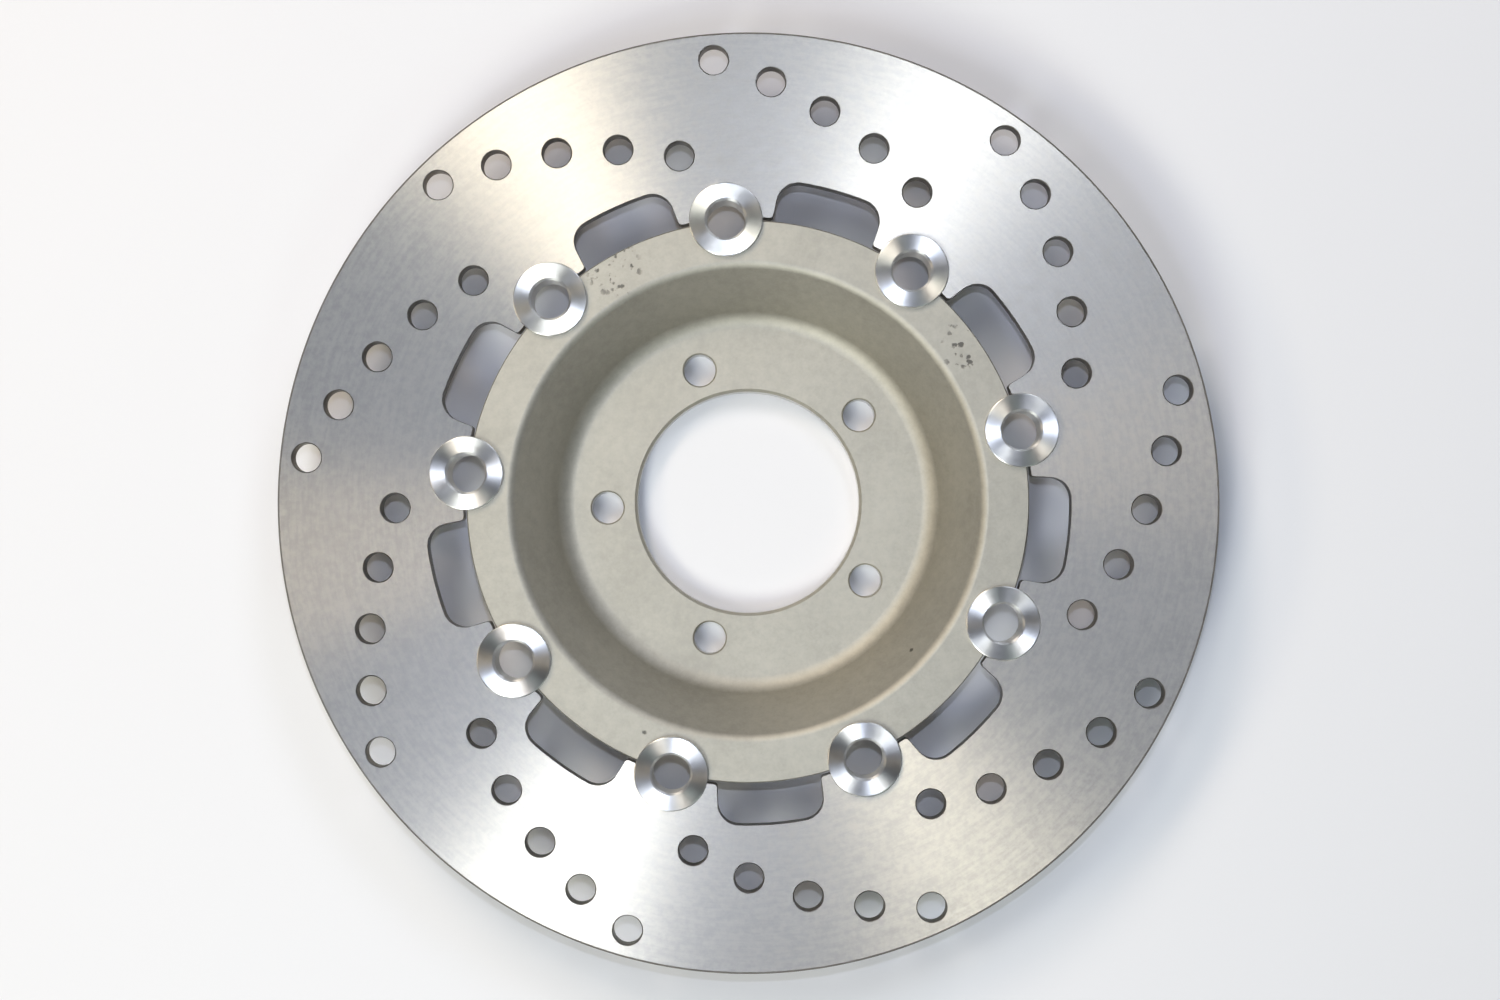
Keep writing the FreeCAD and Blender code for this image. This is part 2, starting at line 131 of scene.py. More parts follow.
def colour(name, value, description):
    return bpy.props.FloatVectorProperty(
        name=name, description=description, default=value, min=0.0, max=1.0, size=3, subtype="COLOR"
    )


def power(name, watts, description):
    return bpy.props.FloatProperty(
        name=name, description=description, default=watts, min=0.0, subtype="POWER", unit="POWER"
    )


def spot(name, value, description):
    return bpy.props.FloatVectorProperty(
        name=name, description=description, default=value, subtype="TRANSLATION", unit="LENGTH"
    )


def count(name, value, minimum, description):
    return bpy.props.IntProperty(name=name, description=description, default=value, min=minimum)


class BrakeRingSizes(bpy.types.PropertyGroup):
    """Sizes of the brake ring"""

    edge_chamfer: length("Edge chamfer", 0.6, "Chamfer on the ring's outer edge")
    lug_radius: length("Lug tips", 78.45, "Inner ends of the lugs, from the axle")
    lug_round: length("Lug rounding", 1.0, "Corners of a lug's inner end")
    window_radius: length("Window top", 89.2, "Outer side of a window, from the axle")
    window_width: length("Window width", 29.7, "Width of a window at its outer side")
    mouth_radius: length("Mouth place", 72.0, "Where the window's mouth width is taken, from the axle")
    mouth_width: length("Mouth width", 28.0, "Width of a window at its mouth")
    window_round: length("Window corners", 6.0, "Rounding of a window's outer corners")
    notch_radius: length("Notch", 7.55, "Half-round notch around a drive button's shank")
    vents: count("Vents in a row", 5, 1, "Vent holes in each row")
    vent_radius: length("Vent", 4.0, "Radius of a vent hole")
    vent_start: length("First vent", 122.5, "Outermost vent of a row, from the axle")
    vent_inward: length("Vent step", 6.3, "How much nearer the axle each next vent is")
    vent_pitch: length("Vent pitch", 17.05, "Centre to centre along a row of vents")
    vent_chamfer: length("Vent chamfer", 0.3, "Chamfer on both ends of a vent")
    edge_break: length("Edge break", 0.12, "Where the windows' sharp edges have been broken")


class BrakeCarrierSizes(bpy.types.PropertyGroup):
    """Sizes of the dished carrier"""

    rim_radius: length("Rim", 77.6, "Outer edge of the rim")
    rim_thickness: length("Rim thickness", 5.0, "Thickness of the rim")
    rim_break: length("Rim edges", 0.3, "Chamfer on the rim's edges")
    mouth_radius: length("Mouth", 65.1, "Where the dish's wall would meet the rim without its rounding")
    mouth_round: length("Mouth rounding", 3.0, "Rounding of the dish's mouth")
    floor_radius: length("Floor", 52.3, "Where the dish's wall would meet its floor without a fillet")
    floor_fillet: length("Floor fillet", 6.0, "Fillet between the dish's wall and floor")
    floor_thickness: length("Floor thickness", 7.0, "Thickness of the hub flange")
    wall_width: length("Wall width", 5.15, "Dish wall, measured level")
    back_fillet: length("Back fillet", 2.5, "Fillet between the wall and the back of the rim")
    pad_round: length("Hub face edge", 1.5, "Rounding of the hub face's outer edge")
    bore_radius: length("Hub bore", 31.5, "Bore for the hub's spigot")
    bore_chamfer: length("Hub bore chamfer", 0.8, "Chamfer on both ends of the hub bore")
    bolts: count("Bolt holes", 5, 1, "Holes for the hub bolts")
    bolt_circle: length("Bolt circle", 40.0, "Bolt holes, from the axle")
    bolt_radius: length("Bolt hole", 4.5, "Radius of a bolt hole")
    bolt_chamfer: length("Bolt hole chamfer", 0.4, "Chamfer on a bolt hole's front end")
    first_bolt: angle("First bolt hole", 110.2, "Direction of the first bolt hole")
    edge_break: length("Edge break", 0.15, "Where the notches' sharp edges have been broken")


class BrakeButtonSizes(bpy.types.PropertyGroup):
    """Sizes of a drive button and the hardware on its shank"""

    bore_radius: length("Bore", 5.3, "Radius of the hole through a button")
    bore_chamfer: length("Bore chamfer", 0.6, "Chamfer on the front end of the bore")
    shank_radius: length("Shank", 7.5, "Radius of the shank")
    shank_chamfer: length("Shank chamfer", 0.4, "Chamfer on the shank's back end")
    flange_radius: length("Flange", 10.2, "Radius of the flange")
    flange_round: length("Flange rounding", 0.3, "Rounding of the flange's rim")
    groove_depth: length("Clip groove", 0.5, "Depth of the clip's groove")
    washer_hole: length("Washer hole", 7.65, "Hole of the flat and wave washers")
    washer_radius: length("Washer", 9.5, "Outer radius of the flat and wave washers")
    washer_round: length("Washer edge", 0.18, "Rounded edge that stamping leaves on one side")
    strip: length("Spring strip", 0.4, "Strip that the wave washers are pressed from")
    waves: count("Waves", 3, 2, "Crests around a wave washer")
    clip_hole: length("Clip hole", 7.05, "Inner radius of a retaining clip")
    clip_radius: length("Clip", 9.0, "Outer radius of a retaining clip")
    clip_gap: length("Clip gap", 3.2, "Opening of a retaining clip")
    ear_radius: length("Clip ear", 1.55, "Radius of a clip's ear")
    ear_reach: length("Ear place", 8.7, "Ear from the clip's centre, along its gap")
    ear_spread: length("Ear spread", 3.2, "Ear from the middle of the gap")
    ear_hole: length("Ear hole", 0.8, "Hole for the pliers in an ear")
    clip_break: length("Clip edges", 0.12, "Chamfer on a retaining clip's edges")


class BrakeFinishes(bpy.types.PropertyGroup):
    """Colours of the finishes"""

    ring: colour("Ground steel", (0.39, 0.365, 0.315), "Ground faces of the brake ring")
    cut: colour("Cut steel", (0.20, 0.185, 0.165), "Cut walls of the ring's windows and vents")
    casting: colour("Casting", (0.455, 0.435, 0.375), "Blasted casting skin of the carrier")
    machined: colour("Machined aluminium", (0.60, 0.59, 0.56), "Machined faces of the carrier")
    pits: colour("Casting pits", (0.10, 0.095, 0.085), "Small pits in the casting")
    button: colour("Turned steel", (0.74, 0.73, 0.70), "Drive buttons")
    plate: colour("Zinc plate", (0.60, 0.61, 0.63), "Flat washers")
    spring: colour("Spring steel", (0.30, 0.31, 0.34), "Wave washers")
    clip: colour("Blackened steel", (0.045, 0.045, 0.05), "Retaining clips")
    table: colour("Table", (0.80, 0.80, 0.82), "The table under the disc")


class BrakeStudio(bpy.types.PropertyGroup):
    """Camera and lights around the disc"""

    camera: spot("Camera", (0.0067, -0.013, 0.605), "Where the camera stands")
    target: spot("Target", (0.0007, 0.0002, 0.025), "What the camera looks at")
    lens: bpy.props.FloatProperty(
        name="Lens", description="Focal length in millimetres", default=50.5, min=1.0
    )
    white_key: power("White window", 6.6, "Window light on one side of the disc")
    white_high: power("White skylight", 3.3, "Cooler light above the white window")
    white_far: power("White return", 2.9, "Light opposite the white window")
    warm_key: power("Warm window", 6.0, "Warm window light on the other side")
    warm_high: power("Warm skylight", 2.2, "Light above the warm window")
    warm_far: power("Warm return", 0.9, "Light opposite the warm window")
    side_glow: power("Side glow", 2.4, "Weak warm light from the side")
    flash: power("Flash", 2.2, "Small cool light above the lens")
    ambient: share("Ambient", 0.03, "Light from the ceiling of the room")
    horizon: share("Horizon", 0.35, "Light from the pale walls of the room")


# Modelling helpers


def polar(radius, azimuth, height=0.0):
    return Vector((radius * math.cos(azimuth), radius * math.sin(azimuth), height))


def deselect_objects():
    if bpy.context.mode != "OBJECT":
        bpy.ops.object.mode_set(mode="OBJECT")
    bpy.ops.object.select_all(action="DESELECT")


def make_active(piece):
    deselect_objects()
    piece.select_set(True)
    bpy.context.view_layer.objects.active = piece


def pick(piece, kind, test):
    """Selects the vertices, edges or faces that pass the test, and leaves the piece in edit mode."""
    make_active(piece)
    bpy.ops.object.mode_set(mode="EDIT")
    bpy.ops.mesh.select_mode(type=kind)
    bpy.ops.mesh.select_all(action="DESELECT")
    bpy.ops.object.mode_set(mode="OBJECT")
    elements = {"VERT": piece.data.vertices, "EDGE": piece.data.edges, "FACE": piece.data.polygons}[kind]
    for element in elements:
        element.select = test(element)
    bpy.ops.object.mode_set(mode="EDIT")


class Pen:
    """Draws an outline from vertex to vertex: a line extrudes the last vertex, and an arc spins it."""

    def __init__(self, name, start):
        deselect_objects()
        bpy.ops.mesh.primitive_plane_add(size=MM, location=start)
        self.piece = bpy.context.object
        self.piece.name = name
        bpy.ops.object.transform_apply(location=True, rotation=False, scale=False)
        bpy.ops.object.mode_set(mode="EDIT")
        bpy.ops.mesh.select_mode(type="VERT")
        bpy.ops.mesh.select_all(action="SELECT")
        bpy.ops.mesh.merge(type="CENTER")
        self.at = Vector(start)

    def line(self, end):
        bpy.ops.mesh.extrude_region_move(TRANSFORM_OT_translate={"value": Vector(end) - self.at})
        self.at = Vector(end)

    def arc(self, centre, end, steps, axis=AXLE):
        """Goes the short way about the centre, round an axis that stands square to the drawing."""
        before = self.at - centre
        after = Vector(end) - centre
        turn = math.atan2(before.cross(after).dot(axis), before.dot(after))
        bpy.ops.mesh.spin(steps=steps, angle=-turn, center=centre, axis=axis)  # spin turns left-handed
        self.at = Vector(end)

    def close(self):
        """Joins the outline's ends with a line and fills it."""
        bpy.ops.mesh.select_all(action="SELECT")
        bpy.ops.mesh.remove_doubles(threshold=WELD)
        bpy.ops.mesh.edge_face_add()
        bpy.ops.object.mode_set(mode="OBJECT")
        return self.piece


def round_corner(piece, place, radius, segments=8):
    """Rounds the corner of a filled outline that lies at the place."""
    edges = [edge for edge in piece.data.edges if any(near(piece, index, place) for index in edge.vertices)]
    arms = []
    for edge in edges:
        ends = [piece.data.vertices[index].co for index in edge.vertices]
        far_end = max(ends, key=lambda end: (end - place).length)
        arms.append((far_end - place).normalized())
    turn = math.pi - arms[0].angle(arms[1])
    pick(piece, "VERT", lambda vertex: (vertex.co - place).length < WELD)
    reach = radius * math.tan(turn / 2)
    bpy.ops.mesh.bevel(offset=reach, offset_type="OFFSET", segments=segments, affect="VERTICES")
    bpy.ops.object.mode_set(mode="OBJECT")


def near(piece, index, place):
    return (piece.data.vertices[index].co - place).length < WELD


def section_outline(name, corners, rounds=()):
    """A filled half section from (radius, height) corners, some of them rounded."""
    pen = Pen(name, (corners[0][0], 0.0, corners[0][1]))
    for radius, height in corners[1:]:
        pen.line((radius, 0.0, height))
    piece = pen.close()
    for (radius, height), rounding in rounds:
        round_corner(piece, Vector((radius, 0.0, height)), rounding)
    return piece


def recalculate(piece):
    """Welds the seams and turns the faces outwards."""
    make_active(piece)
    bpy.ops.object.mode_set(mode="EDIT")
    bpy.ops.mesh.select_all(action="SELECT")
    bpy.ops.mesh.remove_doubles(threshold=WELD)
    bpy.ops.mesh.normals_make_consistent(inside=False)
    bpy.ops.object.mode_set(mode="OBJECT")


def turn_solid(piece, steps):
    """Spins a filled half section about the Z axis into a closed solid."""
    make_active(piece)
    bpy.ops.object.mode_set(mode="EDIT")
    bpy.ops.mesh.select_all(action="SELECT")
    bpy.ops.mesh.delete(type="ONLY_FACE")
    bpy.ops.mesh.select_all(action="SELECT")
    bpy.ops.mesh.spin(steps=steps, angle=FULL_TURN, center=CENTRE, axis=AXLE)
    bpy.ops.object.mode_set(mode="OBJECT")
    recalculate(piece)
    return piece


def turned(name, corners, steps, rounds=()):
    return turn_solid(section_outline(name, corners, rounds), steps)


def raise_prism(piece, low, high):
    """Moves a filled outline to the low height and extrudes it up to the high one."""
    make_active(piece)
    bpy.ops.object.mode_set(mode="EDIT")
    bpy.ops.mesh.select_all(action="SELECT")
    bpy.ops.transform.translate(value=(0.0, 0.0, low))
    bpy.ops.mesh.extrude_region_move(TRANSFORM_OT_translate={"value": (0.0, 0.0, high - low)})
    bpy.ops.object.mode_set(mode="OBJECT")
    recalculate(piece)


def repeat_round(piece, count):
    """Copies all of a mesh round the Z axis, within the same mesh."""
    make_active(piece)
    bpy.ops.object.mode_set(mode="EDIT")
    bpy.ops.mesh.select_all(action="SELECT")
    step = FULL_TURN / count
    bpy.ops.mesh.spin(steps=count - 1, dupli=True, angle=FULL_TURN - step, center=CENTRE, axis=AXLE)
    bpy.ops.object.mode_set(mode="OBJECT")


def place_piece(piece, place, turn=0.0):
    """Turns and moves a piece, and puts its place into its mesh."""
    make_active(piece)
    piece.rotation_euler = (0.0, 0.0, turn)
    piece.location = place
    bpy.ops.object.transform_apply(location=True, rotation=True, scale=False)


def boolean(piece, tool, operation):
    make_active(piece)
    modifier = piece.modifiers.new("Boolean", "BOOLEAN")
    modifier.operation = operation
    modifier.solver = "EXACT"
    modifier.object = tool
    bpy.ops.object.modifier_apply(modifier=modifier.name)
    bpy.data.objects.remove(tool)


def cylinder(name, radius, low, high, place=CENTRE, steps=64):
    deselect_objects()
    middle = (place[0], place[1], (low + high) / 2)
    bpy.ops.mesh.primitive_cylinder_add(vertices=steps, radius=radius, depth=high - low, location=middle)
    piece = bpy.context.object
    piece.name = name
    bpy.ops.object.transform_apply(location=True, rotation=False, scale=False)
    return piece


def break_edges(piece, width, limit_degrees=60.0):
    """Puts a narrow chamfer on every edge that is sharper than the limit."""
    make_active(piece)
    modifier = piece.modifiers.new("EdgeBreak", "BEVEL")
    modifier.limit_method = "ANGLE"
    modifier.angle_limit = math.radians(limit_degrees)
    modifier.width = width
    modifier.segments = 1
    modifier.use_clamp_overlap = True
    bpy.ops.object.modifier_apply(modifier=modifier.name)


def smooth(piece, limit_degrees=28.0):
    """Smooth shading, with large flat faces kept flat."""
    make_active(piece)
    bpy.ops.object.shade_smooth_by_angle(angle=math.radians(limit_degrees))
    modifier = piece.modifiers.new("WeightedNormals", "WEIGHTED_NORMAL")
    modifier.keep_sharp = True
    modifier.weight = 50
    bpy.ops.object.modifier_apply(modifier=modifier.name)


def paint(piece, main, second=None, test=None):
    """Gives a piece its finish, and a second one to the faces that pass the test."""
    piece.data.materials.clear()
    piece.data.materials.append(main)
    if second is None:
        return
    piece.data.materials.append(second)
    for face in piece.data.polygons:
        face.material_index = int(test(face))


def hand_over(piece, body, slot, *nodes):
    """Puts a finished piece in its place in the frame."""
    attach(piece, body)
    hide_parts(*nodes)


def copy_to_buttons(pattern, name):
    """One copy of a pattern, each with its own mesh, on every drive button's axis."""
    copies = []
    for index, axis in enumerate(BUTTON_AXES, start=1):
        piece = pattern.copy()
        piece.data = pattern.data.copy()
        piece.name = f"{name}_{index}"
        bpy.context.scene.collection.objects.link(piece)
        place_piece(piece, axis, math.atan2(axis.y, axis.x))
        copies.append(piece)
    bpy.data.objects.remove(pattern)
    return copies


# Shader helpers

MIX_A = 6
MIX_B = 7
MIX_RESULT = 2


class Signal:
    """A shader socket's value. Python's arithmetic on it adds Math nodes."""

    def __init__(self, finish, socket):
        self.finish = finish
        self.socket = socket

    def maths(self, operation, first, second):
        return self.finish.node("ShaderNodeMath", {"operation": operation}, {0: first, 1: second})

    def __add__(self, other):
        return self.maths("ADD", self, other)

    __radd__ = __add__

    def __sub__(self, other):
        return self.maths("SUBTRACT", self, other)

    def __rsub__(self, other):
        return self.maths("SUBTRACT", other, self)

    def __mul__(self, other):
        return self.maths("MULTIPLY", self, other)

    __rmul__ = __mul__


class Finish:
    """A material that is built up node by node."""

    def __init__(self, name, place=CENTRE, **constants):
        self.material = bpy.data.materials.new(name)
        self.material.use_nodes = True
        self.tree = self.material.node_tree
        self.shader = self.tree.nodes["Principled BSDF"]
        for socket, value in constants.items():
            self.set(socket.replace("_", " "), value)
        coordinates = self.node("ShaderNodeTexCoord", {}, {}, "Object")
        self.point = self.node("ShaderNodeMapping", {}, {"Vector": coordinates, "Location": -Vector(place)})

    def feed(self, socket, value):
        """Links a signal to a socket, or sets the socket's own value."""
        if isinstance(value, Signal):
            self.tree.links.new(value.socket, socket)
        else:
            socket.default_value = value

    def set(self, socket, value):
        self.feed(self.shader.inputs[socket], value)

    def node(self, kind, settings, inputs, output=0):
        """Adds a node with its settings, then its sockets' values or links, and returns one output."""
        made = self.tree.nodes.new(kind)
        for name, value in settings.items():
            setattr(made, name, value)
        for socket, value in inputs.items():
            self.feed(made.inputs[socket], value)
        return Signal(self, made.outputs[output])

    def vector(self, operation, first, second=None, output=0):
        inputs = {0: first} if second is None else {0: first, 1: second}
        return self.node("ShaderNodeVectorMath", {"operation": operation}, inputs, output)

    def noise(self, point, scale, detail=2.0, roughness=0.5):
        values = {"Vector": point, "Scale": scale, "Detail": detail, "Roughness": roughness}
        return self.node("ShaderNodeTexNoise", {}, values, "Fac")

    def fade(self, value, low, high, start=0.0, end=1.0):
        """Goes smoothly from start to end while the value goes from low to high."""
        values = {"Value": value, "From Min": low, "From Max": high, "To Min": start, "To Max": end}
        return self.node("ShaderNodeMapRange", {"interpolation_type": "SMOOTHSTEP"}, values)

    def mix(self, factor, first, second):
        values = {0: factor, MIX_A: rgba(first), MIX_B: rgba(second)}
        return self.node("ShaderNodeMix", {"data_type": "RGBA"}, values, MIX_RESULT)

    def bump(self, height, depth, strength=1.0):
        values = {"Strength": strength, "Distance": depth, "Height": height}
        self.set("Normal", self.node("ShaderNodeBump", {}, values))

    def grooves(self, along, across):
        """Coordinates for marks that run round the Z axis: along and across say how fast they change."""
        flat = self.vector("MULTIPLY", self.point, (1.0, 1.0, 0.0))
        radius = self.vector("LENGTH", flat, output="Value")
        heading = self.vector("NORMALIZE", flat)
        spread = self.vector("MULTIPLY", heading, (along, along, 0.0))
        depth = self.node("ShaderNodeCombineXYZ", {}, {"Z": radius * across})
        return self.vector("ADD", spread, depth)


def rgba(value):
    return value if isinstance(value, Signal) else (*value[:3], 1.0)


def shade(value, factor):
    """A colour made darker or lighter."""
    return tuple(min(1.0, channel * factor) for channel in value)


# Finishes


def ground_steel(base):
    """Ground face: fine marks round the axle that draw the lights out into wedges."""
    finish = Finish("ring_ground_steel", Metallic=1.0, Anisotropic=1.0, Anisotropic_Rotation=0.25)
    streaks = finish.noise(finish.grooves(14.0, 900.0), 1.0, 4.0, 0.65)
    fine = finish.noise(finish.grooves(60.0, 2600.0), 1.0, 2.0)
    mottle = finish.noise(finish.point, 620.0, 3.0, 0.6)
    clouds = finish.noise(finish.point, 38.0, 3.0)
    tone = finish.fade(streaks * 0.4 + mottle * 0.45 + clouds * 0.15, 0.36, 0.64)
    finish.set("Base Color", finish.mix(tone, shade(base, 0.84), shade(base, 1.14)))
    finish.set("Roughness", 0.385 + (streaks - 0.5) * 0.10 + (mottle - 0.5) * 0.20 + (clouds - 0.5) * 0.05)
    finish.bump(streaks * 0.5 + fine * 0.3 + mottle * 0.5, 0.004 * MM, 0.3)
    return finish.material


def cut_steel(base):
    """Cut wall: dull, with marks that run through the thickness."""
    finish = Finish("ring_cut_steel", Metallic=1.0)
    squeezed = finish.vector("MULTIPLY", finish.point, (1.0, 1.0, 0.12))
    scratches = finish.noise(squeezed, 2600.0, 3.0, 0.6)
    stain = finish.noise(finish.point, 160.0, 2.0)
    finish.set("Base Color", finish.mix(stain * 0.6 + scratches * 0.4, shade(base, 0.7), shade(base, 1.5)))
    finish.set("Roughness", 0.42 + (scratches - 0.5) * 0.3)
    finish.bump(scratches, 0.02 * MM, 0.5)
    return finish.material


def casting_skin(base, pit_colour):
    """Blasted casting: an even fine grain, faint clouds, and a few groups of small dark pits."""
    finish = Finish("carrier_blasted_casting", Metallic=1.0)
    grain = finish.noise(finish.point, 1500.0, 3.0, 0.6)
    peel = finish.noise(finish.point, 420.0, 3.0, 0.55)
    clouds = finish.noise(finish.point, 42.0, 4.0, 0.6)
    ragged = finish.noise(finish.point, 1300.0, 2.0) - 0.5
    patches = finish.noise(finish.point, 260.0, 2.0) - 0.5
    small = finish.node("ShaderNodeTexVoronoi", {}, {"Vector": finish.point, "Scale": 430.0}, "Distance")
    large = finish.node("ShaderNodeTexVoronoi", {}, {"Vector": finish.point, "Scale": 42.0}, "Distance")
    grouped = finish.fade(small + ragged * 0.6 + patches * 1.2, 0.30, 0.12)
    single = finish.fade(large + ragged * 0.03, 0.034, 0.016) * finish.fade(clouds, 0.46, 0.50)
    pits = single
    for azimuth in PIT_GROUPS:
        middle = polar(PIT_RADIUS, azimuth, CARRIER_HIGH.z)
        away = finish.vector("DISTANCE", finish.point, middle, "Value")
        pits = pits + grouped * finish.fade(away + patches * 6 * MM, 9 * MM, 4 * MM)
    tone = finish.fade(grain * 0.35 + peel * 0.30 + clouds * 0.35, 0.32, 0.68)
    skin = finish.mix(tone, shade(base, 0.88), shade(base, 1.10))
    finish.set("Base Color", finish.mix(pits * 0.85, skin, pit_colour))
    finish.set("Roughness", 0.58 + (grain - 0.5) * 0.2)
    finish.bump(grain * 0.35 + peel * 0.65 - pits * 1.5, 0.05 * MM, 0.6)
    return finish.material


def machined_aluminium(base):
    """Faced and bored aluminium: even turning marks round the axle."""
    finish = Finish("carrier_machined_aluminium", Metallic=1.0, Anisotropic=0.6, Anisotropic_Rotation=0.25)
    marks = finish.noise(finish.grooves(4.0, 2200.0), 1.0, 2.0)
    clouds = finish.noise(finish.point, 90.0, 2.0)
    finish.set("Base Color", finish.mix(marks * 0.5 + clouds * 0.5, shade(base, 0.88), shade(base, 1.1)))
    finish.set("Roughness", 0.30 + (marks - 0.5) * 0.15 + (clouds - 0.5) * 0.08)
    finish.bump(marks, 0.02 * MM, 0.4)
    return finish.material


def turned_steel(base, index, axis):
    """Turned button: tool marks round its own axis."""
    name = f"button_turned_steel_{index}"
    finish = Finish(name, axis, Metallic=1.0, Anisotropic=0.9, Anisotropic_Rotation=0.25)
    marks = finish.noise(finish.grooves(1.5, 2400.0), 1.0, 2.0)
    smear = finish.noise(finish.grooves(2.5, 260.0), 1.0, 2.0)
    finish.set("Base Color", finish.mix(smear, shade(base, 0.88), shade(base, 1.12)))
    finish.set("Roughness", 0.32 + (smear - 0.5) * 0.12 + (marks - 0.5) * 0.06)
    finish.bump(marks, 0.015 * MM, 0.4)
    return finish.material


def plated_steel(name, base, roughness, grain_scale):
    """Stamped and plated steel: a soft mottle and tiny dents."""
    finish = Finish(name, Metallic=1.0)
    mottle = finish.noise(finish.point, grain_scale, 3.0, 0.6)
    dents = finish.noise(finish.point, grain_scale * 3.3, 2.0)
    finish.set("Base Color", finish.mix(mottle, shade(base, 0.8), shade(base, 1.2)))
    finish.set("Roughness", roughness + (mottle - 0.5) * 0.2)
    finish.bump(mottle * 0.6 + dents * 0.4, 0.02 * MM, 0.4)
    return finish.material


def table_top(base):
    """Pale table: a hardly visible paper tooth."""
    finish = Finish("table_paper")
    tooth = finish.noise(finish.point, 900.0, 3.0)
    drift = finish.noise(finish.point, 4.0, 2.0)
    finish.set("Base Color", finish.mix(tooth * 0.3 + drift * 0.7, shade(base, 0.98), shade(base, 1.02)))
    finish.set("Roughness", 0.75 + (tooth - 0.5) * 0.1)
    finish.bump(tooth, 0.03 * MM, 0.2)
    return finish.material


# Operators


def flank_tangent(sizes, radius, offset):
    """A point this far from the axle and from a window's straight flank, and where it touches the flank.

    The window is centred on +X, and the flank is the one on its +Y side. The offset is positive outside it.
    """
    mouth = Vector((sizes.mouth_radius, sizes.mouth_width / 2, 0.0))
    top_side = sizes.window_width / 2
    top = Vector((math.sqrt(sizes.window_radius**2 - top_side**2), top_side, 0.0))
    run = (top - mouth).normalized()
    outwards = AXLE.cross(run)
    start = mouth + outwards * offset
    along = start.dot(run)
    distance = -along + math.sqrt(along**2 - start.length_squared + radius**2)
    point = start + run * distance
    return point, point - outwards * offset


def draw_ring_opening(sizes):
    """The inside of the ring, drawn from a window's middle to a notch's middle and repeated from there."""
    window_inner = sizes.window_radius - sizes.window_round
    window_centre, window_touch = flank_tangent(sizes, window_inner, -sizes.window_round)
    lug_centre, lug_touch = flank_tangent(sizes, sizes.lug_radius + sizes.lug_round, sizes.lug_round)
    pitch_radius = BUTTON_AXES[0].length
    notch_azimuth = BUTTON_STEP / 2
    notch_centre = polar(pitch_radius, notch_azimuth)
    squares = pitch_radius**2 + sizes.lug_radius**2 - sizes.notch_radius**2
    beyond = math.acos(squares / (2 * pitch_radius * sizes.lug_radius))
    notch_start = polar(sizes.lug_radius, notch_azimuth - beyond)

    pen = Pen("RingOpening", (sizes.window_radius, 0.0, 0.0))
    pen.arc(CENTRE, window_centre.normalized() * sizes.window_radius, 14)
    pen.arc(window_centre, window_touch, 12)
    pen.line(lug_touch)
    pen.arc(lug_centre, lug_centre.normalized() * sizes.lug_radius, 5)
    pen.arc(CENTRE, notch_start, 2)
    pen.arc(notch_centre, polar(pitch_radius + sizes.notch_radius, notch_azimuth), 16)
    bpy.ops.object.mode_set(mode="OBJECT")
    opening = pen.piece
    modifier = opening.modifiers.new("OtherHalf", "MIRROR")
    modifier.use_axis = (False, True, False)
    modifier.merge_threshold = WELD
    bpy.ops.object.modifier_apply(modifier=modifier.name)
    repeat_round(opening, BUTTON_COUNT)
    pick(opening, "VERT", lambda vertex: True)
    bpy.ops.mesh.remove_doubles(threshold=WELD)
    bpy.ops.mesh.edge_face_add()
    bpy.ops.object.mode_set(mode="OBJECT")
    return opening


def make_vent_drill(sizes):
    """Nine rows of drills, whose flared ends chamfer the vents. The first row starts on +X."""
    wide = sizes.vent_radius + sizes.vent_chamfer + REACH
    low = RING_LOW.z
    high = RING_HIGH.z
    corners = [
        (0.0, low - REACH),
        (wide, low - REACH),
        (sizes.vent_radius, low + sizes.vent_chamfer),
        (sizes.vent_radius, high - sizes.vent_chamfer),
        (wide, high + REACH),
        (0.0, high + REACH),
    ]
    drill = turned("VentDrill", corners, 64)
    azimuth = 0.0
    radius = sizes.vent_start
    drills = []
    for index in range(sizes.vents):
        drills.append(polar(radius, azimuth))
        inner = radius - sizes.vent_inward
        cosine = (radius**2 + inner**2 - sizes.vent_pitch**2) / (2 * radius * inner)
        azimuth -= math.acos(cosine)
        radius = inner
    place_piece(drill, drills[0])
    bpy.ops.object.mode_set(mode="EDIT")
    bpy.ops.mesh.select_all(action="SELECT")
    for before, after in zip(drills, drills[1:]):
        bpy.ops.mesh.duplicate_move(TRANSFORM_OT_translate={"value": after - before})
    bpy.ops.object.mode_set(mode="OBJECT")
    repeat_round(drill, BUTTON_COUNT)
    return drill


